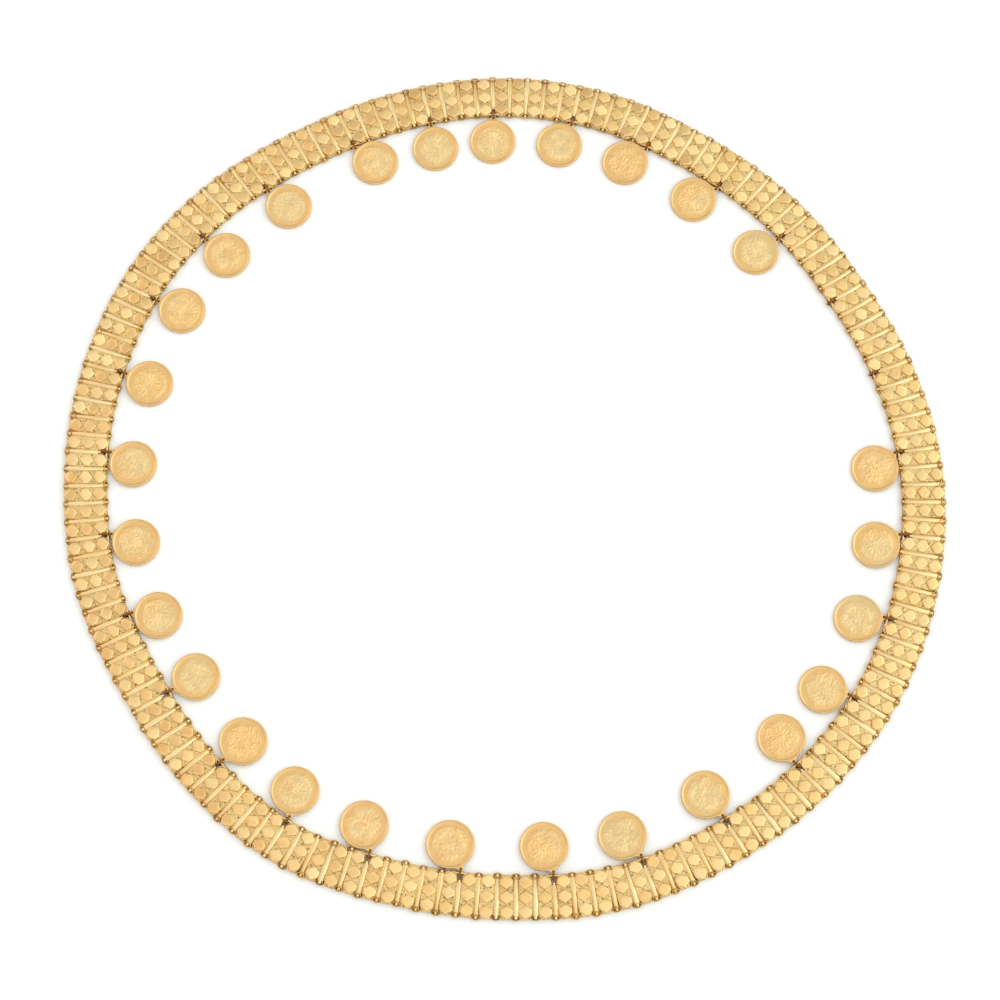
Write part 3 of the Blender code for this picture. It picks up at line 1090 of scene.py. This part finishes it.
class CHAIN_OT_coins(bpy.types.Operator):
    """Make the coins, each with its lug, on the bodies that swing"""

    bl_idname = "chain.coins"
    bl_label = "Coins"

    def execute(self, context):
        sizes = context.scene.chain_sizes
        colours = context.scene.chain_colours
        material = coin_gold(colours.coin, colours.coin_field)
        random = np.random.default_rng(sizes.seed)
        for number, coin in enumerate(nodes_of("coin_"), 1):
            disc = coin_piece("disc", sizes, random.uniform(0, 2 * math.pi), number)
            face = join(f"{coin}_face", [disc, lug_piece(sizes)])
            face.data.transform(coin_place(coin, sizes))
            face.data.materials.clear()
            face.data.materials.append(material)
            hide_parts(coin)
            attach(face, coin)
        return {"FINISHED"}


class CHAIN_OT_jump_rings(bpy.types.Operator):
    """Make the jump rings, those of the coins and the two that carry nothing"""

    bl_idname = "chain.jump_rings"
    bl_label = "Jump rings"

    def execute(self, context):
        sizes = context.scene.chain_sizes
        colours = context.scene.chain_colours
        material = gold("Brass wire, aged dark", colours.jump_ring)
        for coin in nodes_of("coin_"):
            ring = jump_ring_piece(f"{coin}_jump_ring", sizes, hinge_of(coin))
            ring.data.materials.append(material)
            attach(ring, coin)
        inner_edge = Vector((0, HINGE_OFFSET, 0))
        for node in nodes_of("ring_"):
            low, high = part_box(node)
            centre = (low + high) / 2
            joint = min(RING_JOINTS, key=lambda j: (joint_frame(j) @ inner_edge - centre).length)
            place = joint_frame(joint) @ Matrix.Translation((0, HINGE_OFFSET, centre.z))
            ring = jump_ring_piece(f"{node}_jump_ring", sizes, place)
            ring.data.materials.append(material)
            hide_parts(node)
            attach(ring, "band")
        return {"FINISHED"}


class CHAIN_OT_stage(bpy.types.Operator):
    """Make the floor, the soft light and the camera"""

    bl_idname = "chain.stage"
    bl_label = "Stage"

    def execute(self, context):
        scene = context.scene
        bpy.ops.mesh.primitive_plane_add(size=FLOOR_SIZE)
        floor = context.object
        floor.name = "floor"
        floor.data.materials.append(plain_floor(scene.chain_colours.floor))
        # name, place, size across, power in watts
        lamps = [
            ("key", (-1.3, 0.9, 0.9), 1.8, 5),
            ("fill", (1.4, 0.3, 0.9), 1.8, 5),
        ]
        for name, place, across, power in lamps:
            data = bpy.data.lights.new(name, "AREA")
            data.shape = "DISK"
            data.size = across
            data.energy = power
            lamp = new_object(name, data)
            lamp.location = place
            lamp.rotation_euler = (-Vector(place)).to_track_quat("-Z", "Y").to_euler()
        scene.world = bpy.data.worlds.new("Soft white tent")
        scene.world.use_nodes = True
        tree = scene.world.node_tree
        spot = add(tree, "ShaderNodeTexCoord").outputs["Generated"]
        parts = add(tree, "ShaderNodeSeparateXYZ", None, {0: spot})
        folds = add(tree, "ShaderNodeTexNoise", None, {"Vector": spot, "Scale": 4.0, "Detail": 1.0})
        # The tent is brighter overhead and to the right, dimmer far and near, and has soft folds.
        fades = [
            # source, its values from and to, strength from and to
            (parts.outputs["Z"], 0.0, 0.95, 0.95, 1.3),
            (parts.outputs["X"], -0.35, 0.35, 0.84, 1.22),
            (parts.outputs["Y"], -0.1, 0.6, 1.03, 0.76),
            (parts.outputs["Y"], -0.75, -0.15, 0.86, 1.0),
            (folds.outputs["Fac"], 0.35, 0.65, 0.8, 1.14),
        ]
        strength = 1.0
        for source, low, high, first, last in fades:
            fade = add(
                tree,
                "ShaderNodeMapRange",
                None,
                {"Value": source, "From Min": low, "From Max": high, "To Min": first, "To Max": last},
            )
            strength = add(
                tree, "ShaderNodeMath", {"operation": "MULTIPLY"}, {0: strength, 1: fade.outputs[0]}
            ).outputs[0]
        side = add(
            tree, "ShaderNodeMapRange", None, {"Value": parts.outputs["X"], "From Min": -0.3, "From Max": 0.3}
        )
        cast = add(
            tree,
            "ShaderNodeMix",
            {"data_type": "RGBA"},
            {"Factor": side.outputs[0], FIRST: (*linear("#FFF7F3"), 1), SECOND: (*linear("#F5FFFF"), 1)},
        )
        background = tree.nodes["Background"]
        tree.links.new(strength, background.inputs["Strength"])
        tree.links.new(cast.outputs[MIXED], background.inputs["Color"])
        camera = new_object("camera", bpy.data.cameras.new("camera"))
        away = Vector((0, -math.cos(CAMERA_ELEVATION), math.sin(CAMERA_ELEVATION)))
        camera.location = CAMERA_AIM + away * CAMERA_DISTANCE
        camera.rotation_euler = (-away).to_track_quat("-Z", "Y").to_euler()
        camera.data.lens = CAMERA_LENS
        camera.data.sensor_width = CAMERA_SENSOR
        camera.data.clip_start = 0.01
        camera.data.dof.use_dof = False
        scene.camera = camera
        scene.view_settings.view_transform = "Standard"
        return {"FINISHED"}


class CHAIN_PT_panel(bpy.types.Panel):
    """Lists the steps that make the chain"""

    bl_idname = "CHAIN_PT_panel"
    bl_label = "Waist chain"
    bl_space_type = "VIEW_3D"
    bl_region_type = "UI"
    bl_category = "Waist chain"

    def draw(self, context):
        for step in STEPS:
            self.layout.operator(step.bl_idname)
        for group in (context.scene.chain_sizes, context.scene.chain_colours):
            for name in group.bl_rna.properties.keys():
                if name not in ("rna_type", "name"):
                    self.layout.prop(group, name)


STEPS = (
    CHAIN_OT_links,
    CHAIN_OT_hinges,
    CHAIN_OT_edge_rings,
    CHAIN_OT_coins,
    CHAIN_OT_jump_rings,
    CHAIN_OT_stage,
)
CLASSES = (ChainSizes, ChainColours, *STEPS, CHAIN_PT_panel)


def register():
    for each in CLASSES:
        bpy.utils.register_class(each)
    bpy.types.Scene.chain_sizes = bpy.props.PointerProperty(type=ChainSizes)
    bpy.types.Scene.chain_colours = bpy.props.PointerProperty(type=ChainColours)


def unregister():
    del bpy.types.Scene.chain_colours
    del bpy.types.Scene.chain_sizes
    for each in reversed(CLASSES):
        bpy.utils.unregister_class(each)


def main():
    register()
    bpy.ops.chain.links()
    bpy.ops.chain.hinges()
    bpy.ops.chain.edge_rings()
    bpy.ops.chain.coins()
    bpy.ops.chain.jump_rings()
    bpy.ops.chain.stage()
    bpy.context.view_layer.update()


if __name__ == "__main__":
    main()
